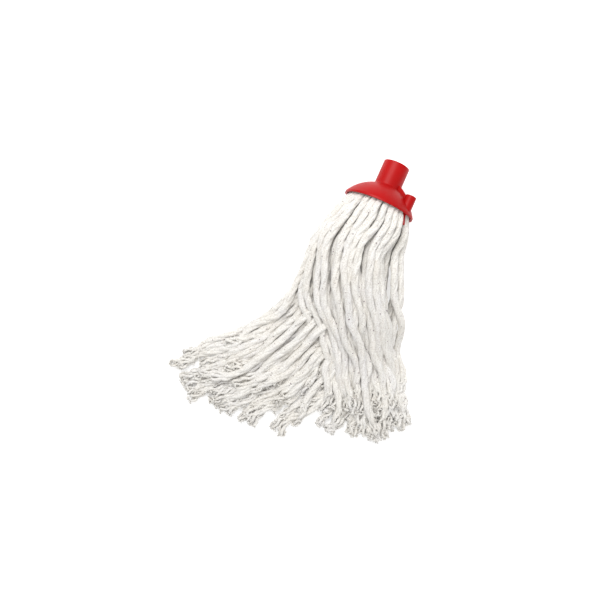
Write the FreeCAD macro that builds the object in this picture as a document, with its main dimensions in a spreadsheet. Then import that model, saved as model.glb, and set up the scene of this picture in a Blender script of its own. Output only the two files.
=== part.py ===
import FreeCAD, Part
import Sketcher
import math
import os

# A string mop head, in millimetres, lying on its side on a flat surface.
# The origin is the centre of the handle socket's mouth. +Y points out of the mouth,
# +Z is up, and the yarns run towards -Y. The cap's rim and the yarns touch the surface.
# The yarns bend about a centre inside the neck, and the dome is a sphere about that centre.

DRIVING = {
    "SocketRadius": 15.0,     # outside of the handle socket
    "SocketBore": 9.8,        # crest of the thread inside it
    "SocketDepth": 25.0,      # from the mouth to the floor of the bore
    "MouthRound": 1.2,        # round outside the mouth
    "LeadIn": 0.4,            # chamfer inside the mouth
    "SocketRoot": 2.0,        # fillet between socket and dome
    "ThreadPitch": 5.0,
    "ThreadDepth": 1.2,
    "ThreadWidth": 2.4,
    "ThreadStart": 5.0,       # middle of the first turn, below the mouth
    "ThreadLength": 16.0,
    "CapHeight": 51.5,        # from the mouth to the rim plane
    "RimRadius": 40.6,
    "DomeRadius": 46.4,       # outside of the dome, about the bend centre
    "DomeWall": 2.4,
    "BendDepth": 72.1,        # from the mouth to the bend centre
    "BossRadius": 6.0,
    "BossOffset": 33.4,       # boss axis to cap axis
    "BossAngle": 34.5,        # about the cap axis, from +X towards +Z
    "BossSpacing": 140.0,     # from there on to the second boss, from +X towards -Z
    "BossTop": 30.0,          # depths below the mouth
    "BossFoot": 47.0,
    "BossRound": 0.8,
    "WebThickness": 3.0,
    "WebTop": 21.5,           # where the web leaves the socket
    "WebFoot": 31.2,          # where it meets the boss
    "PinRadius": 3.0,
    "PinTop": 34.0,
    "PinFoot": 53.4,
    "TailLength": 11.0,
    "TailWidth": 5.6,
    "TailThickness": 2.6,
    "TailFlare": 26.0,
    "ClampInside": 36.2,      # radii about the bend centre
    "ClampOutside": 38.4,
    "ClampAngle": 52.0,       # half angle that the dish covers
    "EarInside": 28.1,
    "EarRadius": 3.7,
    "EarTop": 48.6,
    "EarThickness": 2.0,
    "CrownInside": 38.7,
    "CrownOutside": 43.6,
    "CrownAngle": 36.0,
    "NeckRadius": 35.0,       # the yarn below the clamp stays inside this sphere
    "NeckTop": 46.0,
    "LockGap": 0.4,           # between neighbouring locks of yarn
}

LOCKS_PER_LAYER = 8

# Edges of the two layers of yarn in plan, as (x, y) from the bend centre to the tips.
LOWER_LEFT = [(-30, -72), (-41, -98), (-37, -138), (-37, -184), (-56, -220), (-98, -268), (-137, -317)]
LOWER_RIGHT = [(30, -72), (47, -98), (61, -131), (75, -167), (87, -201), (103, -236), (131, -266)]
UPPER_LEFT = [(-30, -72), (-39, -98), (-36, -138), (-34, -178), (-18, -206), (0, -230), (15, -252)]
UPPER_RIGHT = [(30, -72), (45, -98), (57, -128), (68, -159), (79, -190), (92, -221), (110, -250)]
LOWER_TIP_BULGE = 31.0
UPPER_TIP_BULGE = 16.0

# Heights above the surface. The seam between the layers falls in a straight line from the
# foot of the neck to the furthest tips, and the top of the upper layer is given by station.
NECK_FOOT = -98.0
SEAM_AT_FOOT = 34.0
SEAM_AT_TIPS = 12.0
TOP_HEIGHT = [75.6, 66.0, 61.0, 55.0, 49.0, 43.0, 35.0]


def vec(x, y, z=0.0):
    return FreeCAD.Vector(x, y, z)


def make_sheet(doc):
    """The driving dimensions, one aliased cell each."""
    sheet = doc.addObject("Spreadsheet::Sheet", "Dimensions")
    for row, (alias, value) in enumerate(DRIVING.items(), start=1):
        sheet.set(f"A{row}", alias)
        sheet.set(f"B{row}", str(value))
        sheet.setAlias(f"B{row}", alias)
    doc.recompute()
    return sheet


def origin_feature(body, role):
    return next(feature for feature in body.Origin.OriginFeatures if feature.Role == role)


def add_sketch(body, name, role, offset=None):
    """A sketch on one of the body's own origin planes, moved by offset."""
    sketch = body.newObject("Sketcher::SketchObject", name)
    sketch.AttachmentSupport = [(origin_feature(body, role), "")]
    sketch.MapMode = "FlatFace"
    if offset is not None:
        sketch.AttachmentOffset = offset
    return sketch


def add_feature(body, kind, name, profile, **sizes):
    """A feature made from a sketch, with its sizes bound to the sheet."""
    feature = body.newObject(kind, name)
    feature.Profile = profile
    for size, expression in sizes.items():
        feature.setExpression(size, expression)
    return feature


def turned(body, name, sketch):
    """A full turn of a sketch about the axis of the cap."""
    feature = body.newObject("PartDesign::Revolution", name)
    feature.Profile = sketch
    feature.ReferenceAxis = (sketch, ["V_Axis"])
    feature.Angle = 360
    return feature


def again(body, name, feature):
    """The same feature again, round the axis of the cap at the second boss."""
    pair = body.newObject("PartDesign::PolarPattern", name)
    pair.Originals = [feature]
    pair.Axis = (origin_feature(body, "Y_Axis"), [""])
    pair.Occurrences = 2
    pair.setExpression("Angle", "Dimensions.BossSpacing")
    body.Tip = pair


def driven(sketch, expression, *constraint):
    """A dimension of a sketch, bound to the sheet."""
    value = float(sketch.evalExpression(expression))
    index = sketch.addConstraint(Sketcher.Constraint(*constraint, value))
    sketch.setExpression(f"Constraints[{index}]", expression)


def draw_outline(sketch, points, arcs=()):
    """A closed outline through points. arcs gives the centre of each edge that is round."""
    backwards = set()
    arcs = dict(arcs)
    for index, start in enumerate(points):
        end = points[(index + 1) % len(points)]
        if index not in arcs:
            sketch.addGeometry(Part.LineSegment(start, end))
            continue
        centre = arcs[index]
        first, last = (math.atan2(p.y - centre.y, p.x - centre.x) for p in (start, end))
        if first > last:
            backwards.add(index)
        circle = Part.Circle(centre, vec(0, 0, 1), (start - centre).Length)
        sketch.addGeometry(Part.ArcOfCircle(circle, min(first, last), max(first, last)))
    for index in range(len(points)):
        following = (index + 1) % len(points)
        tail = 1 if index in backwards else 2
        head = 2 if following in backwards else 1
        sketch.addConstraint(Sketcher.Constraint("Coincident", index, tail, following, head))


def draw_shell_sector(sketch, dims, inside, outside, angle):
    """A band between two spheres about the bend centre, out to an angle from the axis."""
    centre = vec(0, -dims.BendDepth)
    radii = (getattr(dims, inside), getattr(dims, outside))
    slant = math.radians(getattr(dims, angle))
    edge = [centre + vec(math.sin(slant) * r, math.cos(slant) * r) for r in radii]
    top = [centre + vec(0, r) for r in radii]
    draw_outline(sketch, [top[0], edge[0], edge[1], top[1]], {0: centre, 2: centre})
    sketch.addConstraint(Sketcher.Constraint("PointOnObject", 0, 3, -2))
    sketch.addConstraint(Sketcher.Constraint("Coincident", 0, 3, 2, 3))
    sketch.addConstraint(Sketcher.Constraint("PointOnObject", 3, 1, -2))
    sketch.addConstraint(Sketcher.Constraint("PointOnObject", 3, 2, -2))
    driven(sketch, "Dimensions.BendDepth", "DistanceY", 0, 3, -1, 1)
    driven(sketch, f"Dimensions.{inside}", "Radius", 0)
    driven(sketch, f"Dimensions.{outside}", "Radius", 2)
    driven(sketch, f"Dimensions.{outside} * sin(Dimensions.{angle})", "DistanceX", -1, 1, 1, 2)
    driven(sketch, f"Dimensions.{inside} * sin(Dimensions.{angle})", "DistanceX", -1, 1, 1, 1)


# ---------------------------------------------------------------- cap

def draw_cap_section(sketch, dims):
    """Half section of the socket and the dome."""
    bend = vec(0, -dims.BendDepth)
    inner = dims.DomeRadius - dims.DomeWall
    rim_inside = dims.RimRadius - dims.DomeWall

    def on_sphere(radius, x):
        return vec(x, bend.y + math.sqrt(radius ** 2 - x ** 2))

    points = [
        vec(0, -dims.SocketDepth),
        vec(dims.SocketBore, -dims.SocketDepth),
        vec(dims.SocketBore, -dims.LeadIn),
        vec(dims.SocketBore + dims.LeadIn, 0),
        vec(dims.SocketRadius - dims.MouthRound, 0),
        vec(dims.SocketRadius, -dims.MouthRound),
        on_sphere(dims.DomeRadius, dims.SocketRadius),
        on_sphere(dims.DomeRadius, dims.RimRadius),
        vec(dims.RimRadius, -dims.CapHeight),
        vec(rim_inside, -dims.CapHeight),
        on_sphere(inner, rim_inside),
        on_sphere(inner, 0),
    ]
    mouth_centre = vec(dims.SocketRadius - dims.MouthRound, -dims.MouthRound)
    draw_outline(sketch, points, {4: mouth_centre, 6: bend, 10: bend})
    for level in (0, 3, 8):
        sketch.addConstraint(Sketcher.Constraint("Horizontal", level))
    for upright in (1, 5, 7, 9):
        sketch.addConstraint(Sketcher.Constraint("Vertical", upright))
    for point in ((0, 1), (11, 1), (6, 3)):
        sketch.addConstraint(Sketcher.Constraint("PointOnObject", *point, -2))
    sketch.addConstraint(Sketcher.Constraint("PointOnObject", 3, 1, -1))
    sketch.addConstraint(Sketcher.Constraint("Coincident", 10, 3, 6, 3))
    driven(sketch, "Dimensions.SocketDepth", "DistanceY", 0, 1, -1, 1)
    driven(sketch, "Dimensions.SocketBore", "DistanceX", -1, 1, 1, 1)
    driven(sketch, "Dimensions.LeadIn", "DistanceY", 1, 2, -1, 1)
    driven(sketch, "Dimensions.LeadIn", "DistanceX", 2, 1, 2, 2)
    driven(sketch, "Dimensions.SocketRadius", "DistanceX", -1, 1, 5, 1)
    driven(sketch, "Dimensions.MouthRound", "DistanceY", 5, 1, -1, 1)
    driven(sketch, "Dimensions.MouthRound", "DistanceX", 3, 2, 5, 1)
    driven(sketch, "Dimensions.MouthRound", "Radius", 4)
    driven(sketch, "Dimensions.BendDepth", "DistanceY", 6, 3, -1, 1)
    driven(sketch, "Dimensions.DomeRadius", "Radius", 6)
    driven(sketch, "Dimensions.DomeRadius - Dimensions.DomeWall", "Radius", 10)
    driven(sketch, "Dimensions.RimRadius", "DistanceX", -1, 1, 7, 1)
    driven(sketch, "Dimensions.DomeWall", "DistanceX", 9, 1, 8, 1)
    driven(sketch, "Dimensions.CapHeight", "DistanceY", 8, 1, -1, 1)


def draw_thread_section(sketch, dims):
    """The groove of the thread: a trapezoid that is wider at the bore than at its root."""
    mouth = dims.ThreadWidth / 2
    root = mouth / 2
    inside = dims.SocketBore - 0.2 * dims.ThreadDepth
    outside = dims.SocketBore + dims.ThreadDepth
    middle = -dims.ThreadStart
    points = [
        vec(inside, middle - mouth),
        vec(outside, middle - root),
        vec(outside, middle + root),
        vec(inside, middle + mouth),
    ]
    draw_outline(sketch, points)
    sketch.addConstraint(Sketcher.Constraint("Vertical", 1))
    sketch.addConstraint(Sketcher.Constraint("Vertical", 3))
    driven(sketch, "Dimensions.SocketBore - 0.2 * Dimensions.ThreadDepth", "DistanceX", -1, 1, 0, 1)
    driven(sketch, "Dimensions.SocketBore + Dimensions.ThreadDepth", "DistanceX", -1, 1, 1, 1)
    driven(sketch, "Dimensions.ThreadStart + Dimensions.ThreadWidth / 2", "DistanceY", 0, 1, -1, 1)
    driven(sketch, "Dimensions.ThreadStart - Dimensions.ThreadWidth / 2", "DistanceY", 3, 1, -1, 1)
    driven(sketch, "Dimensions.ThreadStart + Dimensions.ThreadWidth / 4", "DistanceY", 1, 1, -1, 1)
    driven(sketch, "Dimensions.ThreadStart - Dimensions.ThreadWidth / 4", "DistanceY", 2, 1, -1, 1)


def boss_circles(body, name, radius):
    """A circle on the axis of each boss, in the plane of the bosses' feet."""
    sketch = add_sketch(body, name, "XZ_Plane", FreeCAD.Placement(vec(0, 0, 1), FreeCAD.Rotation()))
    sketch.setExpression("AttachmentOffset.Base.z", "Dimensions.BossFoot")
    sketch.addGeometry(Part.Circle(vec(30, 20), vec(0, 0, 1), 4))
    sketch.addGeometry(Part.Circle(vec(-10, -30), vec(0, 0, 1), 4))
    sketch.addConstraint(Sketcher.Constraint("Equal", 0, 1))
    second = "Dimensions.BossSpacing - Dimensions.BossAngle"
    driven(sketch, "Dimensions.BossOffset * cos(Dimensions.BossAngle)", "DistanceX", -1, 1, 0, 3)
    driven(sketch, "Dimensions.BossOffset * sin(Dimensions.BossAngle)", "DistanceY", -1, 1, 0, 3)
    driven(sketch, f"-Dimensions.BossOffset * cos({second})", "DistanceX", 1, 3, -1, 1)
    driven(sketch, f"Dimensions.BossOffset * sin({second})", "DistanceY", 1, 3, -1, 1)
    driven(sketch, f"Dimensions.{radius}", "Radius", 0)
    return sketch


def draw_web_section(sketch, dims):
    """The web between socket and boss. Its foot is an arc inside the dome's wall."""
    bend = vec(0, -dims.BendDepth)
    middle_of_wall = dims.DomeRadius - dims.DomeWall / 2
    near = dims.SocketRadius - 1
    far = dims.BossOffset - dims.BossRadius + 0.8

    def on_wall(x):
        return vec(x, bend.y + math.sqrt(middle_of_wall ** 2 - x ** 2))

    points = [vec(near, -dims.WebTop), vec(far, -dims.WebFoot), on_wall(far), on_wall(near)]
    draw_outline(sketch, points, {2: bend})
    sketch.addConstraint(Sketcher.Constraint("Vertical", 1))
    sketch.addConstraint(Sketcher.Constraint("Vertical", 3))
    sketch.addConstraint(Sketcher.Constraint("PointOnObject", 2, 3, -2))
    driven(sketch, "Dimensions.BendDepth", "DistanceY", 2, 3, -1, 1)
    driven(sketch, "Dimensions.DomeRadius - Dimensions.DomeWall / 2", "Radius", 2)
    driven(sketch, "Dimensions.SocketRadius - 1", "DistanceX", -1, 1, 0, 1)
    driven(sketch, "Dimensions.BossOffset - Dimensions.BossRadius + 0.8", "DistanceX", -1, 1, 1, 1)
    driven(sketch, "Dimensions.WebTop", "DistanceY", 0, 1, -1, 1)
    driven(sketch, "Dimensions.WebFoot", "DistanceY", 1, 1, -1, 1)


def round_edges_at(shape, radius, depth):
    """Names of a shape's round edges of one radius, about the cap's direction, at one depth."""
    names = []
    for number, edge in enumerate(shape.Edges, start=1):
        if edge.Degenerated or not isinstance(edge.Curve, Part.Circle):
            continue
        centre = edge.Curve.Center
        if abs(edge.Curve.Radius - radius) < 0.01 and abs(centre.y + depth) < 0.01:
            names.append(f"Edge{number}")
    return names


def make_cap(doc, dims):
    """The cap: socket, dome, and two bosses with their webs, moulded as one."""
    body = doc.addObject("PartDesign::Body", "Cap")
    body.Label = "cap"
    section = add_sketch(body, "CapSection", "XY_Plane")
    draw_cap_section(section, dims)
    shell = turned(body, "CapShell", section)
    doc.recompute()

    junction = dims.BendDepth - math.sqrt(dims.DomeRadius ** 2 - dims.SocketRadius ** 2)
    root = body.newObject("PartDesign::Fillet", "SocketRootFillet")
    root.Base = (shell, round_edges_at(shell.Shape, dims.SocketRadius, junction))
    root.setExpression("Radius", "Dimensions.SocketRoot")
    doc.recompute()

    bosses = add_feature(body, "PartDesign::Pad", "Bosses",
                         boss_circles(body, "BossCircles", "BossRadius"),
                         Length="Dimensions.BossFoot - Dimensions.BossTop")
    bosses.Reversed = True
    doc.recompute()

    boss_round = body.newObject("PartDesign::Fillet", "BossRoundFillet")
    boss_round.Base = (bosses, round_edges_at(bosses.Shape, dims.BossRadius, dims.BossTop))
    boss_round.setExpression("Radius", "Dimensions.BossRound")
    doc.recompute()

    add_feature(body, "PartDesign::Pocket", "PinHoles", boss_circles(body, "PinCircles", "PinRadius"),
                Length="Dimensions.BossFoot - Dimensions.PinTop")
    doc.recompute()

    turn = FreeCAD.Placement(vec(0, 0), FreeCAD.Rotation(vec(0, -1, 0), dims.BossAngle))
    web_section = add_sketch(body, "WebSection", "XY_Plane", turn)
    web_section.setExpression("AttachmentOffset.Rotation.Angle", "Dimensions.BossAngle")
    draw_web_section(web_section, dims)
    web = add_feature(body, "PartDesign::Pad", "Web", web_section, Length="Dimensions.WebThickness")
    web.Midplane = True
    doc.recompute()

    again(body, "SecondWeb", web)
    doc.recompute()

    thread_section = add_sketch(body, "ThreadSection", "XY_Plane")
    draw_thread_section(thread_section, dims)
    thread = add_feature(body, "PartDesign::SubtractiveHelix", "Thread", thread_section,
                         Pitch="Dimensions.ThreadPitch", Height="Dimensions.ThreadLength")
    thread.ReferenceAxis = (thread_section, ["V_Axis"])
    thread.Reversed = True
    doc.recompute()
    return body


# ---------------------------------------------------------------- inside the cap

def make_clamp(doc, dims):
    """The dished clamp, with two ears that the pins hold."""
    body = doc.addObject("PartDesign::Body", "YarnClamp")
    body.Label = "yarn_clamp"
    section = add_sketch(body, "DishSection", "XY_Plane")
    draw_shell_sector(section, dims, "ClampInside", "ClampOutside", "ClampAngle")
    turned(body, "Dish", section)
    doc.recompute()

    plane = FreeCAD.Placement(vec(0, 0, 1), FreeCAD.Rotation(vec(0, 0, 1), dims.BossAngle))
    outline = add_sketch(body, "EarOutline", "XZ_Plane", plane)
    outline.setExpression("AttachmentOffset.Base.z", "Dimensions.EarTop")
    outline.setExpression("AttachmentOffset.Rotation.Angle", "Dimensions.BossAngle")
    draw_ear_outline(outline, dims)
    ear = add_feature(body, "PartDesign::Pad", "Ear", outline, Length="Dimensions.EarThickness")
    doc.recompute()

    again(body, "SecondEar", ear)
    doc.recompute()

    add_feature(body, "PartDesign::Pocket", "BossClearance",
                boss_circles(body, "ClearanceCircles", "BossRadius + Dimensions.LockGap"),
                Length="4 * Dimensions.EarThickness")
    doc.recompute()
    return body


def draw_ear_outline(sketch, dims):
    """A tab with a round end about the pin, and the pin's hole."""
    near = dims.EarInside
    middle = dims.BossOffset
    half = dims.EarRadius
    sketch.addGeometry(Part.LineSegment(vec(near, -half), vec(middle, -half)))
    circle = Part.Circle(vec(middle, 0), vec(0, 0, 1), half)
    sketch.addGeometry(Part.ArcOfCircle(circle, -math.pi / 2, math.pi / 2))
    sketch.addGeometry(Part.LineSegment(vec(middle, half), vec(near, half)))
    sketch.addGeometry(Part.LineSegment(vec(near, half), vec(near, -half)))
    for first, second in ((0, 1), (1, 2), (2, 3), (3, 0)):
        sketch.addConstraint(Sketcher.Constraint("Coincident", first, 2, second, 1))
    sketch.addGeometry(Part.Circle(vec(middle, 0), vec(0, 0, 1), dims.PinRadius))
    sketch.addConstraint(Sketcher.Constraint("Horizontal", 0))
    sketch.addConstraint(Sketcher.Constraint("Horizontal", 2))
    sketch.addConstraint(Sketcher.Constraint("Vertical", 3))
    sketch.addConstraint(Sketcher.Constraint("PointOnObject", 1, 3, -1))
    sketch.addConstraint(Sketcher.Constraint("Coincident", 4, 3, 1, 3))
    driven(sketch, "Dimensions.BossOffset", "DistanceX", -1, 1, 1, 3)
    driven(sketch, "Dimensions.BossOffset", "DistanceX", -1, 1, 1, 1)
    driven(sketch, "Dimensions.EarInside", "DistanceX", -1, 1, 0, 1)
    driven(sketch, "Dimensions.EarRadius", "Radius", 1)
    driven(sketch, "Dimensions.PinRadius", "Radius", 4)


def make_pin(doc, dims, side, angle):
    """A retaining pin: a round shank in the boss, and a flat tail that shows below the rim."""
    shank = doc.addObject("Part::Cylinder", f"PinShank{side}")
    shank.setExpression("Radius", "Dimensions.PinRadius")
    shank.setExpression("Height", "Dimensions.PinFoot - Dimensions.PinTop")
    shank.Placement = FreeCAD.Placement(vec(dims.BossOffset, -dims.PinTop),
                                        FreeCAD.Rotation(vec(1, 0, 0), 90))
    shank.setExpression("Placement.Base.x", "Dimensions.BossOffset")
    shank.setExpression("Placement.Base.y", "-Dimensions.PinTop")

    tail = doc.addObject("Part::Wedge", f"PinTail{side}")
    limits = {
        "Xmin": "-Dimensions.TailThickness / 2",
        "Xmax": "Dimensions.TailThickness / 2",
        "Ymin": "0",
        "Ymax": "Dimensions.TailLength",
        "Zmin": "-Dimensions.TailWidth / 2",
        "Zmax": "Dimensions.TailWidth / 2",
        "X2min": "-Dimensions.TailThickness / 3",
        "X2max": "Dimensions.TailThickness / 3",
        "Z2min": "-0.4 * Dimensions.TailWidth",
        "Z2max": "0.4 * Dimensions.TailWidth",
    }
    for name, expression in limits.items():
        tail.setExpression(name, expression)
    lean = FreeCAD.Rotation(vec(0, 0, 1), 180 + dims.TailFlare)
    tail.Placement = FreeCAD.Placement(vec(dims.BossOffset, -dims.PinFoot + dims.TailThickness / 2), lean)
    tail.setExpression("Placement.Base.x", "Dimensions.BossOffset")
    tail.setExpression("Placement.Base.y", "Dimensions.TailThickness / 2 - Dimensions.PinFoot")

    pin = doc.addObject("Part::Fuse", f"RetainingPin{side}")
    pin.Label = f"retaining_pin_{side.lower()}"
    pin.Base = shank
    pin.Tool = tail
    pin.Placement = FreeCAD.Placement(vec(0, 0), FreeCAD.Rotation(vec(0, -1, 0), angle))
    doc.recompute()
    return pin


def make_yarn_crown(doc, dims):
    """The folded middles of the yarns, packed between the clamp and the dome."""
    body = doc.addObject("PartDesign::Body", "YarnCrown")
    body.Label = "yarn_crown"
    section = add_sketch(body, "CrownSection", "XY_Plane")
    draw_shell_sector(section, dims, "CrownInside", "CrownOutside", "CrownAngle")
    turned(body, "FoldedYarn", section)
    doc.recompute()
    return body


# ---------------------------------------------------------------- locks of yarn

def blend(a, b, share):
    return a + share * (b - a)


def rounded_section(left, right):
    """A closed section with round corners, in the upright plane through left and right.

    Each side is (x, y, low, high), and the section slopes evenly from one to the other."""
    width = math.hypot(right[0] - left[0], right[1] - left[1])
    height = (left[3] - left[2] + right[3] - right[2]) / 2
    corner = 0.4 * min(width, height)

    def at(across, up):
        x, y, low, high = (blend(a, b, across / width) for a, b in zip(left, right))
        return vec(x, y, blend(low, high, up / height))

    edges = []
    first = last = None
    for quarter in range(4):
        across = width - corner if quarter in (0, 3) else corner
        up = height - corner if quarter in (0, 1) else corner
        angles = [math.radians(90 * quarter + step) for step in (0, 45, 90)]
        points = [at(across + corner * math.cos(a), up + corner * math.sin(a)) for a in angles]
        if last is not None:
            edges.append(Part.LineSegment(last, points[0]).toShape())
        edges.append(Part.Arc(*points).toShape())
        first = first or points[0]
        last = points[2]
    edges.append(Part.LineSegment(last, first).toShape())
    return Part.Wire(edges)


def neck_side(dims, share, upper, depth):
    """One side of a lock inside the neck sphere, where the bundle is round."""
    radius = math.sqrt(dims.NeckRadius ** 2 - (dims.BendDepth - depth) ** 2)
    spread = blend(LOWER_LEFT[0][0], LOWER_RIGHT[0][0], share) / dims.NeckRadius
    reach = radius * math.sqrt(1 - spread ** 2)
    low, high = (0, reach) if upper else (-reach, 0)
    return spread * radius, -depth, low, high


def skirt_side(dims, share, upper, station):
    """One side of a lock at one station between the neck and the tips."""
    left = (UPPER_LEFT if upper else LOWER_LEFT)[station]
    right = (UPPER_RIGHT if upper else LOWER_RIGHT)[station]
    bulge = UPPER_TIP_BULGE if upper else LOWER_TIP_BULGE
    along = station / (len(TOP_HEIGHT) - 1)
    x = blend(left[0], right[0], share)
    y = blend(left[1], right[1], share) - bulge * along ** 3 * 4 * share * (1 - share)
    furthest = LOWER_LEFT[-1][1]
    seam = blend(SEAM_AT_FOOT, SEAM_AT_TIPS, (y - NECK_FOOT) / (furthest - NECK_FOOT)) - dims.RimRadius
    if not upper:
        return x, y, -dims.RimRadius, seam
    crown = math.sqrt(1 - 0.75 * (2 * share - 1) ** 2)
    return x, y, seam, blend(seam, TOP_HEIGHT[station] - dims.RimRadius, crown)


def drawn_in(left, right, gap):
    """The same two sides, moved in by half the gap on every side."""
    width = math.hypot(right[0] - left[0], right[1] - left[1])
    step = gap / 2 / width
    sides = []
    for share in (step, 1 - step):
        x, y, low, high = (blend(a, b, share) for a, b in zip(left, right))
        sides.append((x, y, low + gap / 2, high - gap / 2))
    return sides


def make_lock(doc, dims, layer, number):
    """One lock of yarn, from inside the cap to its tips, as a plain closed solid."""
    upper = layer == "upper"
    shares = ((number - 1) / LOCKS_PER_LAYER, number / LOCKS_PER_LAYER)
    depths = (dims.NeckTop, (dims.NeckTop + dims.BendDepth) / 2, dims.BendDepth)
    rows = [[neck_side(dims, share, upper, depth) for share in shares] for depth in depths]
    rows += [[skirt_side(dims, share, upper, station) for share in shares]
             for station in range(1, len(TOP_HEIGHT))]
    sections = [rounded_section(*drawn_in(*row, dims.LockGap)) for row in rows]
    lock = doc.addObject("Part::Feature", f"{layer.capitalize()}Lock{number}")
    lock.Label = f"{layer}_lock_{number}"
    lock.Shape = Part.makeLoft(sections, True, True)
    lock.Placement = FreeCAD.Placement()
    return lock


# ---------------------------------------------------------------- the whole head

def make_parts(doc, dims):
    parts = [
        make_cap(doc, dims),
        make_clamp(doc, dims),
        make_pin(doc, dims, "Front", dims.BossAngle),
        make_pin(doc, dims, "Back", dims.BossAngle - dims.BossSpacing),
        make_yarn_crown(doc, dims),
    ]
    for layer in ("lower", "upper"):
        parts += [make_lock(doc, dims, layer, number) for number in range(1, LOCKS_PER_LAYER + 1)]
    return parts


def check(doc, parts):
    """Stops on a failed feature or a shape that isn't one sound solid."""
    for thing in doc.Objects:
        if "Invalid" in thing.State or "Error" in thing.State:
            raise RuntimeError(f"{thing.Name} failed: {thing.State}")
    for part in parts:
        shape = part.Shape
        if shape.isNull() or not shape.isValid() or len(shape.Solids) != 1:
            raise RuntimeError(f"{part.Label} isn't one sound solid")
        print(f"{part.Label}: {shape.Volume:.0f} mm3")


def main():
    doc = FreeCAD.newDocument("StringMop")
    dims = make_sheet(doc)
    parts = make_parts(doc, dims)
    doc.recompute()
    check(doc, parts)
    os.makedirs("parts", exist_ok=True)
    for part in parts:
        part.Shape.exportStep(f"parts/{part.Label}.step")


main()
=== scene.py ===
import math

import bpy
import numpy as np
from mathutils import Matrix, Vector


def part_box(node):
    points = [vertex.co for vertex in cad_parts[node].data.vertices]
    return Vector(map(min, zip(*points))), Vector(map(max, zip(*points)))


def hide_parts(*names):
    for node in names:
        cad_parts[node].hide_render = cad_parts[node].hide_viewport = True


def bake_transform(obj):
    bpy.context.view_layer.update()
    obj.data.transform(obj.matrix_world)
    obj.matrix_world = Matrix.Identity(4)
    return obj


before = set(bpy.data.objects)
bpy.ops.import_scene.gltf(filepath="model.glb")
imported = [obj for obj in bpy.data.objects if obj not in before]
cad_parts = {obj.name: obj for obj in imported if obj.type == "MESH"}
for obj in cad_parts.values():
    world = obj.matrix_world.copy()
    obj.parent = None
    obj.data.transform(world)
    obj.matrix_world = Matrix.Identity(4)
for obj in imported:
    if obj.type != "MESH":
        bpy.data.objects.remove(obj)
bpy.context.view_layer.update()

# ---------------------------------------------------------------- sizes from the frame

CAP_LOW, CAP_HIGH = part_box("cap")
FLOOR = CAP_LOW.z
RIM_Y = CAP_LOW.y
RIM_RADIUS = CAP_HIGH.x

MM = 0.001
DOME_WALL = 0.0024
YARN = 9 * MM                  # outside width of one yarn, all its plies together
NECK_REACH = RIM_RADIUS - DOME_WALL - 0.5 * YARN   # from the cap's axis to the outermost yarns
SKIRT_MIDDLE = Vector((-0.037, -0.182, 0))         # where the camera and the lights aim
rng = np.random.default_rng(11)


# ---------------------------------------------------------------- camera, floor and light

CAMERA_ROLL = math.radians(24.2)
CAMERA_TILT = 0.03             # how far the camera stands towards the tips, as a share of its distance
CAMERA_DISTANCE = 0.78
FRAME_WIDTH = 0.666            # what the picture spans at SKIRT_MIDDLE
FLOOR_SIDE = 6.0


def add_camera():
    """Looks almost straight down on the head, rolled so that the socket leans to the right."""
    roll = CAMERA_ROLL
    up = Vector((-math.sin(roll), math.cos(roll), 0))
    right = Vector((math.cos(roll), math.sin(roll), 0))
    away = Vector((0, 0, 1)) - CAMERA_TILT * up
    away.normalize()
    data = bpy.data.cameras.new("camera")
    data.sensor_width = 36
    data.lens = data.sensor_width * CAMERA_DISTANCE / FRAME_WIDTH
    camera = bpy.data.objects.new("camera", data)
    up = away.cross(right).normalized()
    right = up.cross(away).normalized()
    turn = Matrix((right, up, away)).transposed().to_4x4()
    camera.matrix_world = Matrix.Translation(SKIRT_MIDDLE + CAMERA_DISTANCE * away) @ turn
    bpy.context.scene.collection.objects.link(camera)
    bpy.context.scene.camera = camera


def add_area_light(name, place, size, power):
    """A soft round light that faces the middle of the skirt."""
    data = bpy.data.lights.new(name, "AREA")
    data.shape = "DISK"
    data.size = size
    data.energy = power
    light = bpy.data.objects.new(name, data)
    aim = SKIRT_MIDDLE - Vector(place)
    light.location = place
    light.rotation_euler = aim.to_track_quat("-Z", "Y").to_euler()
    bpy.context.scene.collection.objects.link(light)


def add_stage():
    """A plain pale floor and soft, almost shadowless studio light."""
    half = FLOOR_SIDE / 2
    mesh = bpy.data.meshes.new("floor")
    corners = [(x * half, y * half, FLOOR) for x, y in ((-1, -1), (1, -1), (1, 1), (-1, 1))]
    mesh.from_pydata(corners, [], [(0, 1, 2, 3)])
    floor = bpy.data.objects.new("floor", mesh)
    bpy.context.scene.collection.objects.link(floor)
    material = bpy.data.materials.new("pale_floor")
    material.use_nodes = True
    shader = material.node_tree.nodes["Principled BSDF"]
    shader.inputs["Base Color"].default_value = (0.93, 0.93, 0.93, 1)
    shader.inputs["Roughness"].default_value = 0.9
    shader.inputs["Emission Color"].default_value = (1, 1, 1, 1)
    shader.inputs["Emission Strength"].default_value = 0.3
    mesh.materials.append(material)

    world = bpy.data.worlds.new("studio")
    world.use_nodes = True
    world.node_tree.nodes["Background"].inputs["Color"].default_value = (1, 1, 1, 1)
    world.node_tree.nodes["Background"].inputs["Strength"].default_value = 0.58
    bpy.context.scene.world = world
    bpy.context.scene.view_settings.view_transform = "Standard"
    add_area_light("key", (-0.4, 0.3, 0.9), 0.7, 9.5)
    add_area_light("fill", (0.6, -0.5, 0.9), 0.9, 3)


# ---------------------------------------------------------------- routes of the yarns

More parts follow.
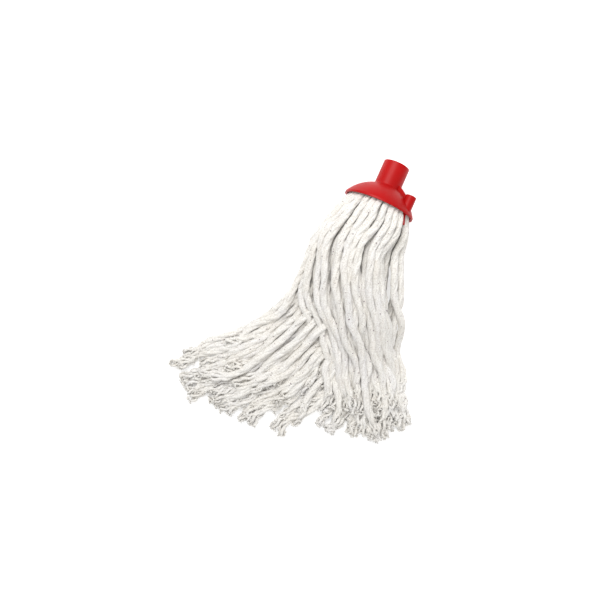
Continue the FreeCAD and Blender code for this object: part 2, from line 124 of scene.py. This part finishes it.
# Edges of the skirt in plan, in millimetres, from the middle of the neck to the tips.
# The under yarns turn to the left and spread, and the front yarns sweep to the right.
UNDER_LEFT = [(-44, -72), (-49, -98), (-45, -138), (-44, -178), (-59, -220), (-99, -265), (-147, -309)]
UNDER_RIGHT = [(42, -72), (49, -98), (61, -131), (70, -167), (72, -206), (58, -258), (36, -312)]
FRONT_LEFT = [(-43, -72), (-48, -98), (-44, -138), (-40, -174), (-14, -202), (20, -238), (46, -294)]
FRONT_RIGHT = [(43, -72), (52, -98), (66, -130), (79, -162), (92, -194), (107, -230), (135, -264)]
UNDER_BULGE = 23 * MM          # how far the middle tips reach past a line between the edges' ends
FRONT_BULGE = 18 * MM
# Rings of yarns in the cap's mouth: the share of NECK_REACH, and how many yarns.
NECK_RINGS = [(1.0, 30), (0.79, 23), (0.57, 17), (0.35, 11), (0.12, 4)]
STATIONS = 27                  # points that steer one yarn
NECK_SQUEEZE = 0.9             # share of its full width that a yarn has at the rim
PIN_CLEARANCE = math.radians(10)
HELD = 2                       # stations that the cap holds
EDGE_POINTS = 49
EDGE_ROUNDINGS = 20
ROUTE_POINTS = 45              # points of a first route, before it is cut into stations
SWAY_AT_NECK = 0.7             # size of the slower of a yarn's two waves, in millimetres
SWAY_ADDED = 3.8               # on top of that at the tips
PILE_AT_NECK = 82              # height of the heap of yarn, in millimetres
PILE_LOST = 54                 # of that, on the way to the tips
SETTLE_STEPS = 130
SETTLE_PULL = 0.25             # share of an overlap or kink by which one step moves a point
LARGEST_SHIFT = 1.5 * MM       # of a point in one step


def smooth(value, low, high):
    share = np.clip((value - low) / (high - low), 0, 1)
    return share * share * (3 - 2 * share)


def rounded(edge):
    """An edge of the skirt as a curve of many points, with its corners rounded off."""
    points = np.array(edge, float) * MM
    steps = np.linspace(0, len(points) - 1, EDGE_POINTS)
    curve = np.stack([np.interp(steps, np.arange(len(points)), points[:, axis]) for axis in (0, 1)], axis=1)
    for _ in range(EDGE_ROUNDINGS):
        curve[1:-1] = (curve[:-2] + 2 * curve[1:-1] + curve[2:]) / 4
    return curve


def edge_points(edge, along):
    """Points on an edge, along from 0 at the neck to 1 at the tips."""
    steps = np.linspace(0, 1, len(edge))
    return np.stack([np.interp(along, steps, edge[:, axis]) for axis in (0, 1)], axis=1)


def resampled(line, count):
    """The same line as evenly spaced points, and its length."""
    reach = np.concatenate([[0], np.cumsum(np.linalg.norm(np.diff(line, axis=0), axis=1))])
    places = np.linspace(0, reach[-1], count)
    return np.stack([np.interp(places, reach, line[:, axis]) for axis in range(3)], axis=1), reach[-1]


def pin_angle(pin):
    """The pin's direction from the axis of the cap."""
    middle = (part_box(pin)[0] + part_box(pin)[1]) / 2
    return math.atan2(middle.z, middle.x)


def neck_places():
    """Where each yarn leaves the cap: rings that fill its mouth, the outermost open at each pin."""
    pins = [pin_angle("retaining_pin_front"), pin_angle("retaining_pin_back")]
    places = []
    for share, count in NECK_RINGS:
        start = rng.uniform(0, 2 * math.pi)
        for number in range(count):
            angle = start + 2 * math.pi * (number + rng.uniform(-0.12, 0.12)) / count
            if share == 1.0 and max(math.cos(angle - pin) for pin in pins) > math.cos(PIN_CLEARANCE):
                continue
            places.append((share * NECK_REACH * math.cos(angle), share * NECK_REACH * math.sin(angle)))
    return places


def first_route(across, up, edges):
    """The route that one yarn would take alone: out of the cap, then along the skirt."""
    share = np.clip(0.5 + math.asin(across / NECK_REACH) / math.pi + rng.uniform(-0.04, 0.04), 0, 1)
    height = np.clip(0.5 + 0.5 * up / NECK_REACH + rng.uniform(-0.05, 0.05), 0, 1)
    front = float(smooth(height, 0.5, 0.7))
    share = np.clip(0.5 + 1.2 * (share - 0.5), 0, 1) ** (1.45 - 0.45 * front)
    longest = (1 - front) * (1.02 - 0.24 * rng.uniform() ** 1.8) + front * rng.uniform(0.88, 1.02)
    along = np.linspace(0, longest, ROUTE_POINTS)
    share = np.clip(share + 0.3 * front * (smooth(along, 0.15, 0.9) - 0.35), 0, 1)[:, None]
    under = (1 - share) * edge_points(edges[0], along) + share * edge_points(edges[1], along)
    over = (1 - share) * edge_points(edges[2], along) + share * edge_points(edges[3], along)
    plan = (1 - front) * under + front * over
    share = share[:, 0]
    bulge = (UNDER_BULGE * (1 - front) + FRONT_BULGE * front) * (1 - (2 * share - 1) ** 4)
    plan[:, 1] -= bulge * along ** 3

    heading = np.gradient(plan, axis=0)
    heading /= np.linalg.norm(heading, axis=1, keepdims=True)
    sideways = np.stack([-heading[:, 1], heading[:, 0]], axis=1)
    sway = (SWAY_AT_NECK + SWAY_ADDED * along ** 1.5) * MM
    turns = rng.uniform(3.0, 4.5), rng.uniform(5.0, 6.5)
    phase = rng.uniform(0, 2 * math.pi, 3)
    wave = np.sin(turns[0] * 2 * math.pi * along + phase[0])
    wave += 0.6 * smooth(along, 0.3, 0.8) * np.sin(turns[1] * 2 * math.pi * along + phase[1])
    plan += (sway * wave)[:, None] * sideways

    pile = (PILE_AT_NECK - PILE_LOST * along ** 0.9) * MM
    crown = np.sqrt(1 - 0.55 * (2 * share - 1) ** 2)
    spread = smooth(along, 0, 0.75)
    rise = (1 - spread) * 1.1 * up + spread * (FLOOR + YARN / 2 + height * (pile * crown - YARN))
    plan[:, 0] += (1 - smooth(along, 0, 0.25)) * (1.25 * across - plan[:, 0])
    rise += 0.6 * sway * np.sin(turns[0] * 2 * math.pi * along + phase[2])
    inside = [(0.9 * across, RIM_Y + 5 * MM, 0.9 * up), (across, RIM_Y - 2 * MM, up)]
    return resampled(np.concatenate([inside, np.column_stack([plan, rise])]), STATIONS)[0]


def settle(routes):
    """Lets the yarns sink on to the floor and push each other apart."""
    guide = np.array(routes)
    moved = np.zeros_like(guide)
    count = len(guide)
    along = np.linspace(0, 1, STATIONS)
    width = np.tile(YARN * (0.8 + 0.15 * smooth(along, 0, 0.25)), count)
    sink = 0.4 * MM * smooth(along, 0.25, 0.8)
    keep = 1 - np.column_stack([np.full((STATIONS, 2), 0.05), 0.12 * (1 - smooth(along, 0.15, 0.8))])
    owner = np.repeat(np.arange(count), STATIONS)
    same = owner[:, None] == owner[None, :]
    for _ in range(SETTLE_STEPS):
        moved[:, :, 2] -= sink
        moved[:, 1:-1] += SETTLE_PULL * ((moved[:, :-2] + moved[:, 2:]) / 2 - moved[:, 1:-1])
        moved *= keep
        points = (guide + moved).reshape(-1, 3)
        square = (points ** 2).sum(1)
        distance = square[:, None] + square[None, :] - 2 * points @ points.T
        distance[same] = 1
        first, second = np.nonzero(distance < YARN ** 2)
        gap = points[first] - points[second]
        length = np.linalg.norm(gap, axis=1)
        push = SETTLE_PULL * np.clip((width[first] + width[second]) / 2 - length, 0, None)
        push = push / np.maximum(length, 1e-6)
        shift = np.zeros_like(points)
        np.add.at(shift, first, push[:, None] * gap)
        size = np.linalg.norm(shift, axis=1, keepdims=True)
        shift *= np.minimum(1, LARGEST_SHIFT / np.maximum(size, 1e-9))
        moved += shift.reshape(moved.shape)
        moved[:, :, 2] = np.maximum(moved[:, :, 2], FLOOR + 0.48 * YARN - guide[:, :, 2])
        moved[:, :HELD] = 0
    return guide + moved


def spline_line(points):
    """Points read from a smooth spline that follows a yarn's route without meeting every point."""
    curve = bpy.data.curves.new("route", "CURVE")
    curve.dimensions = "3D"
    spline = curve.splines.new("NURBS")
    spline.points.add(len(points) - 1)
    for knot, place in zip(spline.points, points):
        knot.co = (*place, 1)
    spline.order_u = 3
    spline.use_endpoint_u = True
    spline.resolution_u = 5
    holder = bpy.data.objects.new("route", curve)
    bpy.context.scene.collection.objects.link(holder)
    bpy.context.view_layer.update()
    mesh = bpy.data.meshes.new_from_object(holder.evaluated_get(bpy.context.evaluated_depsgraph_get()))
    line = np.array([v.co for v in mesh.vertices], float)
    bpy.data.objects.remove(holder)
    bpy.data.meshes.remove(mesh)
    bpy.data.curves.remove(curve)
    return line


# ---------------------------------------------------------------- meshes of the yarns

PLIES = 4
RING_SPACING = 2.4 * MM
PLY_RADIUS = 2.65 * MM
PLY_OFFSET = 1.75 * MM
PLY_REACH = 5.2 * MM           # furthest that the middle of a ply strays from the yarn's own line
FRAY = 58 * MM                 # length at the cut end where the plies open
WISPS = 22                     # curled threads at each cut end
WISP_LENGTH = (7, 13)          # ranges that the draws are made from, in millimetres
WISP_RADIUS = (0.7, 1.3)
TWIST_LENGTH = (0.065, 0.095)  # metres of yarn to one turn of its plies
CRIMP_LENGTH = (0.011, 0.018)  # metres to one wave of a ply
FUZZ = 200                     # loose fibres along each yarn
TIP_FUZZ = 120                 # and more of them at its cut end
TIP_RINGS = 16
FIBRE_CORNERS = (0, 2.094, 4.189)   # angles of the three corners round a fibre


def cross_axes(line):
    """Each point's direction along a line, and two directions across it that don't twist."""
    tangents = np.gradient(line, axis=0)
    tangents /= np.linalg.norm(tangents, axis=1, keepdims=True)
    side = np.cross(tangents[0], (0.1, 0.2, 1.0))
    sides = []
    for tangent in tangents:
        side = side - tangent * (side @ tangent)
        side = side / np.linalg.norm(side)
        sides.append(side)
    sides = np.array(sides)
    return tangents, sides, np.cross(tangents, sides)


def soft_noise(count, knots):
    """Smooth random values from -1 to 1 along a yarn."""
    values = rng.uniform(-1, 1, max(3, knots))
    places = np.linspace(0, len(values) - 1, count)
    low = np.minimum(places.astype(int), len(values) - 2)
    share = places - low
    share = share * share * (3 - 2 * share)
    return values[low] * (1 - share) + values[low + 1] * share


class YarnMesh:
    """Collects the closed tubes and fibres of one yarn."""

    def __init__(self):
        self.vertices, self.faces, self.fibres, self.tones = [], [], [], []
        self.count = 0

    def add(self, vertices, faces, fibres, tone):
        self.vertices.append(vertices)
        self.faces += [tuple(self.count + v for v in face) for face in faces]
        self.fibres.append(fibres)
        self.tones.append(np.full(len(vertices), tone, np.float32))
        self.count += len(vertices)

    def tube(self, centres, radii, axes, sides, tone, lumps):
        """A lumpy tube, closed at both ends."""
        count = len(centres)
        turn = 2 * math.pi * np.arange(sides) / sides
        size = radii[:, None] * (1 + rng.uniform(-lumps, lumps, (count, sides)))
        rings = centres[:, None] + size[..., None] * (
            np.cos(turn)[None, :, None] * axes[1][:, None] + np.sin(turn)[None, :, None] * axes[2][:, None])
        faces = []
        for ring in range(count - 1):
            for side in range(sides):
                a = ring * sides + side
                b = ring * sides + (side + 1) % sides
                faces.append((a, b, b + sides, a + sides))
        last_ring = (count - 1) * sides
        for side in range(sides):
            following = (side + 1) % sides
            faces.append((count * sides, following, side))
            faces.append((count * sides + 1, last_ring + side, last_ring + following))
        reach = np.concatenate([[0], np.cumsum(np.linalg.norm(np.diff(centres, axis=0), axis=1))])
        fibres = np.column_stack([np.tile(np.cos(turn), count) * PLY_RADIUS + 0.1 * tone,
                                  np.tile(np.sin(turn), count) * PLY_RADIUS, np.repeat(reach, sides)])
        vertices = np.concatenate([rings.reshape(-1, 3), centres[:1], centres[-1:]])
        self.add(vertices, faces, np.concatenate([fibres, fibres[:1], fibres[-1:]]), tone)

    def spikes(self, bases, directions, lengths, tone):
        """Loose fibres: thin bent spikes, closed at the foot."""
        count = len(bases)
        bend = rng.normal(0, 0.45, (count, 3))
        middles = bases + directions * lengths[:, None] * 0.5
        onward = directions + bend
        onward /= np.linalg.norm(onward, axis=1, keepdims=True)
        tips = middles + onward * lengths[:, None] * 0.5
        a = np.cross(directions, (0.31, 0.47, 0.83))
        a *= (rng.uniform(0.09, 0.15, count) * MM / np.linalg.norm(a, axis=1))[:, None]
        b = np.cross(directions, a)
        corners = [math.cos(t) * a + math.sin(t) * b for t in FIBRE_CORNERS]
        columns = [bases + c for c in corners] + [middles + 0.75 * c for c in corners] + [tips]
        vertices = np.stack(columns, axis=1).reshape(-1, 3)
        one = [(2, 1, 0)]
        for side, following in ((0, 1), (1, 2), (2, 0)):
            one += [(side, following, 3 + following, 3 + side), (3 + side, 3 + following, 6)]
        faces = [tuple(7 * number + v for v in face) for number in range(count) for face in one]
        self.add(vertices, faces, np.full((len(vertices), 3), 0.05), tone)

    def finish(self, name, material):
        vertices = np.concatenate(self.vertices)
        vertices[:, 2] = np.maximum(vertices[:, 2], FLOOR + 0.1 * MM)
        mesh = bpy.data.meshes.new(name)
        mesh.from_pydata(vertices, [], self.faces)
        mesh.polygons.foreach_set("use_smooth", np.ones(len(mesh.polygons), bool))
        fibre = mesh.attributes.new("fibre", "FLOAT_VECTOR", "POINT")
        fibre.data.foreach_set("vector", np.concatenate(self.fibres).astype(np.float32).ravel())
        tone = mesh.attributes.new("tone", "FLOAT", "POINT")
        tone.data.foreach_set("value", np.concatenate(self.tones))
        mesh.materials.append(material)
        yarn = bpy.data.objects.new(name, mesh)
        bpy.context.scene.collection.objects.link(yarn)
        return yarn


def lay_plies(yarn, line, length, axes, tone):
    """The plies of one yarn: laid softly round each other, open and crimped at the cut end."""
    count = len(line)
    reach = np.linspace(0, length, count)
    opened = 1 - smooth(length - reach, 0, FRAY * rng.uniform(0.7, 1.25))
    neck = NECK_SQUEEZE + (1 - NECK_SQUEEZE) * smooth(reach, 0, 55 * MM)
    twist = rng.uniform(0, 2 * math.pi) + reach / rng.uniform(*TWIST_LENGTH) * 2 * math.pi
    for ply in range(PLIES):
        angle = twist + 2 * math.pi * ply / PLIES + 0.35 * soft_noise(count, count // 6)
        offset = PLY_OFFSET * neck * (1 + 0.15 * soft_noise(count, count // 5))
        offset += opened * rng.uniform(0.5, 2.0) * MM
        crimp = (0.12 + opened) * rng.uniform(0.8, 1.4) * MM
        wave = rng.uniform(*CRIMP_LENGTH)
        phase = rng.uniform(0, 2 * math.pi, 2)
        across = offset * np.cos(angle) + crimp * np.sin(reach / wave * 2 * math.pi + phase[0])
        upward = offset * np.sin(angle) + crimp * np.sin(reach / wave * 2 * math.pi + phase[1])
        inward = np.minimum(1, PLY_REACH / np.hypot(across, upward))
        centres = line + (inward * across)[:, None] * axes[1] + (inward * upward)[:, None] * axes[2]
        radii = PLY_RADIUS * neck * (1 + 0.11 * soft_noise(count, count // 3)) * (1 - 0.36 * opened)
        end = count - (int(rng.integers(0, 2)) if ply > 1 else 0)
        radii[end - 1] *= 0.55
        radii[end - 2] *= 0.85
        yarn.tube(centres[:end], radii[:end], [a[:end] for a in axes], 8, tone + 0.1 * ply, 0.12)


def curl_wisps(yarn, line, axes):
    """Short curled threads that stand out of the cut end."""
    for _ in range(WISPS):
        ring = len(line) - 1 - int(15 * rng.uniform() ** 1.7)
        spin = rng.uniform(0, 2 * math.pi)
        outward = math.cos(spin) * axes[1][ring] + math.sin(spin) * axes[2][ring]
        sideways = np.cross(axes[0][ring], outward)
        steps = np.linspace(0, 1, 9)[:, None]
        reach = rng.uniform(*WISP_LENGTH) * MM
        lift = rng.uniform(2.4, 3.7) * MM * np.sin(steps * rng.uniform(1.8, 3.0))
        curl = rng.uniform(0.8, 1.6) * MM * np.sin(steps * rng.uniform(4, 9) + rng.uniform(0, 6))
        start = line[ring] + outward * 1.5 * MM
        forward = rng.uniform(0.3, 1.0) if ring < len(line) - 6 else rng.uniform(0, 0.2)
        centres = start + steps * reach * forward * axes[0][ring] + lift * outward + curl * sideways
        radii = rng.uniform(*WISP_RADIUS) * MM * (1 - 0.35 * steps[:, 0])
        yarn.tube(centres, radii, cross_axes(centres), 5, rng.uniform(0, 0.3), 0.12)


def raise_fuzz(yarn, line, axes, tone, rings, count, shortest, longest, forward):
    """Loose fibres that stand out of the yarn over some of its rings."""
    ring = rng.integers(rings[0], rings[1], count)
    spin = rng.uniform(0, 2 * math.pi, count)[:, None]
    outward = np.cos(spin) * axes[1][ring] + np.sin(spin) * axes[2][ring]
    directions = outward + forward * rng.uniform(0.3, 1.6, (count, 1)) * axes[0][ring]
    directions += rng.normal(0, 0.35, (count, 3))
    directions /= np.linalg.norm(directions, axis=1, keepdims=True)
    bases = line[ring] + outward * 0.75 * YARN / 2
    yarn.spikes(bases, directions, rng.uniform(shortest, longest, count), tone)


def build_yarn(number, line, length, material):
    """One yarn: plies, a frayed cut end and fuzz."""
    axes = cross_axes(line)
    tone = rng.uniform(0, 0.7)
    yarn = YarnMesh()
    lay_plies(yarn, line, length, axes, tone)
    curl_wisps(yarn, line, axes)
    rings = len(line)
    raise_fuzz(yarn, line, axes, tone, (4, rings), FUZZ, 1.2 * MM, 2.8 * MM, 0.7)
    raise_fuzz(yarn, line, axes, tone, (rings - TIP_RINGS, rings), TIP_FUZZ, 1.6 * MM, 3.4 * MM, 1.2)
    return yarn.finish(f"yarn_{number:02d}", material)


# ---------------------------------------------------------------- materials

class Nodes:
    """Short ways to add and join the nodes of one material."""

    def __init__(self, name):
        self.material = bpy.data.materials.new(name)
        self.material.use_nodes = True
        self.tree = self.material.node_tree
        self.shader = self.tree.nodes["Principled BSDF"]

    def add(self, kind, links=None, **values):
        node = self.tree.nodes.new(kind)
        for name, value in values.items():
            if hasattr(node, name):
                setattr(node, name, value)
            else:
                node.inputs[name.replace("_", " ")].default_value = value
        for name, source in (links or {}).items():
            self.tree.links.new(source, node.inputs[name])
        return node

    def join(self, source, target):
        self.tree.links.new(source, self.shader.inputs[target])

    def noise(self, scale, detail=3.0, roughness=0.55, vector=None):
        node = self.add("ShaderNodeTexNoise")
        node.inputs["Scale"].default_value = scale
        node.inputs["Detail"].default_value = detail
        node.inputs["Roughness"].default_value = roughness
        if vector is not None:
            self.tree.links.new(vector, node.inputs["Vector"])
        return node.outputs["Fac"]

    def ramp(self, source, stops):
        node = self.add("ShaderNodeValToRGB", {"Fac": source})
        elements = node.color_ramp.elements
        while len(elements) < len(stops):
            elements.new(0.5)
        for element, (place, colour) in zip(elements, stops):
            element.position = place
            element.color = (*colour, 1)
        return node.outputs["Color"]

    def mix(self, share, first, second, blend="MIX"):
        node = self.add("ShaderNodeMix")
        node.data_type = "RGBA"
        node.blend_type = blend
        for index, value in ((0, share), (6, first), (7, second)):
            if isinstance(value, bpy.types.NodeSocket):
                self.tree.links.new(value, node.inputs[index])
            elif index == 0:
                node.inputs[index].default_value = value
            else:
                node.inputs[index].default_value = (*value, 1)
        return node.outputs[2]

    def bump(self, height, distance, strength=1.0, under=None):
        node = self.add("ShaderNodeBump", {"Height": height})
        node.inputs["Distance"].default_value = distance
        node.inputs["Strength"].default_value = strength
        if under is not None:
            self.tree.links.new(under, node.inputs["Normal"])
        return node.outputs["Normal"]


def cotton_material():
    """Raw cotton: off-white with cream and grey fibres, dark seed flecks and a soft sheen."""
    n = Nodes("cotton")
    place = n.add("ShaderNodeTexCoord").outputs["Object"]
    fibre = n.add("ShaderNodeAttribute", attribute_name="fibre").outputs["Vector"]
    tone = n.add("ShaderNodeAttribute", attribute_name="tone").outputs["Fac"]
    stretched = n.add("ShaderNodeMapping", {"Vector": fibre})
    stretched.inputs["Scale"].default_value = (1, 1, 0.13)
    strands = n.noise(1500, 4, 0.6, stretched.outputs["Vector"])
    patches = n.noise(38, 3, 0.55, place)
    yarn_colour = n.ramp(tone, [(0, (0.84, 0.825, 0.79)), (0.5, (0.78, 0.755, 0.71)),
                                (1, (0.79, 0.78, 0.78))])
    patch_colour = n.ramp(patches, [(0.3, (0.76, 0.73, 0.68)), (0.5, (0.84, 0.825, 0.79)),
                                    (0.72, (0.78, 0.77, 0.77))])
    colour = n.mix(0.55, yarn_colour, patch_colour)
    streak = n.ramp(strands, [(0.3, (0.72, 0.70, 0.66)), (0.55, (1, 1, 1)), (0.8, (1, 0.99, 0.97))])
    colour = n.mix(0.5, colour, streak, "MULTIPLY")
    specks = n.ramp(n.noise(780, 2, 0.6, place), [(0.36, (0.68, 0.645, 0.60)), (0.52, (1, 1, 1))])
    colour = n.mix(0.7, colour, specks, "MULTIPLY")
    flecks = n.noise(420, 1, 0.4, place)
    dark = n.ramp(flecks, [(0.73, (0, 0, 0)), (0.76, (1, 1, 1))])
    colour = n.mix(dark, colour, (0.10, 0.05, 0.07))
    n.join(colour, "Base Color")
    n.shader.inputs["Roughness"].default_value = 0.95
    n.shader.inputs["Sheen Weight"].default_value = 0.35
    n.shader.inputs["Sheen Roughness"].default_value = 0.6
    coarse = n.bump(patches, 0.4 * MM, 0.4)
    n.join(n.bump(strands, 0.35 * MM, 0.8, coarse), "Normal")
    return n.material


def plastic_material(name, colour, dark, roughness):
    """Moulded plastic: faint flow marks and orange peel, fine scratches, and dulled patches."""
    n = Nodes(name)
    place = n.add("ShaderNodeTexCoord").outputs["Object"]
    flow = n.noise(26, 3, 0.5, place)
    peel = n.noise(900, 2, 0.5, place)
    lines = n.add("ShaderNodeMapping", {"Vector": place})
    lines.inputs["Scale"].default_value = (1, 0.06, 1)
    lines.inputs["Rotation"].default_value = (0.3, 0.2, 0.6)
    scratches = n.noise(700, 2, 0.7, lines.outputs["Vector"])
    n.join(n.mix(n.ramp(flow, [(0.35, (0, 0, 0)), (0.7, (1, 1, 1))]), colour, dark), "Base Color")
    rough = n.add("ShaderNodeMapRange", {"Value": flow})
    rough.inputs["To Min"].default_value = roughness - 0.06
    rough.inputs["To Max"].default_value = roughness + 0.12
    n.join(rough.outputs["Result"], "Roughness")
    n.shader.inputs["Specular IOR Level"].default_value = 0.18
    n.shader.inputs["Coat Weight"].default_value = 0.03
    n.shader.inputs["Coat Roughness"].default_value = 0.22
    fine = n.bump(peel, 0.05 * MM, 0.35)
    n.join(n.bump(scratches, 0.04 * MM, 0.5, fine), "Normal")
    return n.material


# ---------------------------------------------------------------- the pieces


def dress_cap():
    """Puts the red plastics on the cap, the pins and the clamp."""
    red = plastic_material("red_plastic", (0.43, 0.001, 0.0015), (0.37, 0.001, 0.001), 0.44)
    satin = plastic_material("red_satin_plastic", (0.36, 0.003, 0.003), (0.30, 0.002, 0.002), 0.42)
    for node, material in (("cap", red), ("retaining_pin_front", red), ("retaining_pin_back", red),
                           ("yarn_clamp", satin)):
        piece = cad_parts[node]
        piece.data.materials.clear()
        piece.data.materials.append(material)


def make_yarns(cotton):
    """All the yarns, each a piece of its own, standing for the locks of yarn in the skirt."""
    edges = [rounded(edge) for edge in (UNDER_LEFT, UNDER_RIGHT, FRONT_LEFT, FRONT_RIGHT)]
    routes = settle([first_route(across, up, edges) for across, up in neck_places()])
    yarns = []
    for number, route in enumerate(routes, start=1):
        spline = spline_line(route)
        rings = round(resampled(spline, 2)[1] / RING_SPACING)
        line, length = resampled(spline, rings)
        yarn = build_yarn(number, line, length, cotton)
        yarns.append((yarn, line, length))
    return yarns


def attach_yarns(yarns):
    """Bakes each yarn's placement into its mesh and hides the CAD model's locks, which the yarns stand for.
    """
    locks = [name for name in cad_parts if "_lock_" in name]
    for yarn, _, _ in yarns:
        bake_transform(yarn)
        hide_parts(*locks)


add_camera()
add_stage()
cotton = cotton_material()
dress_cap()
attach_yarns(make_yarns(cotton))
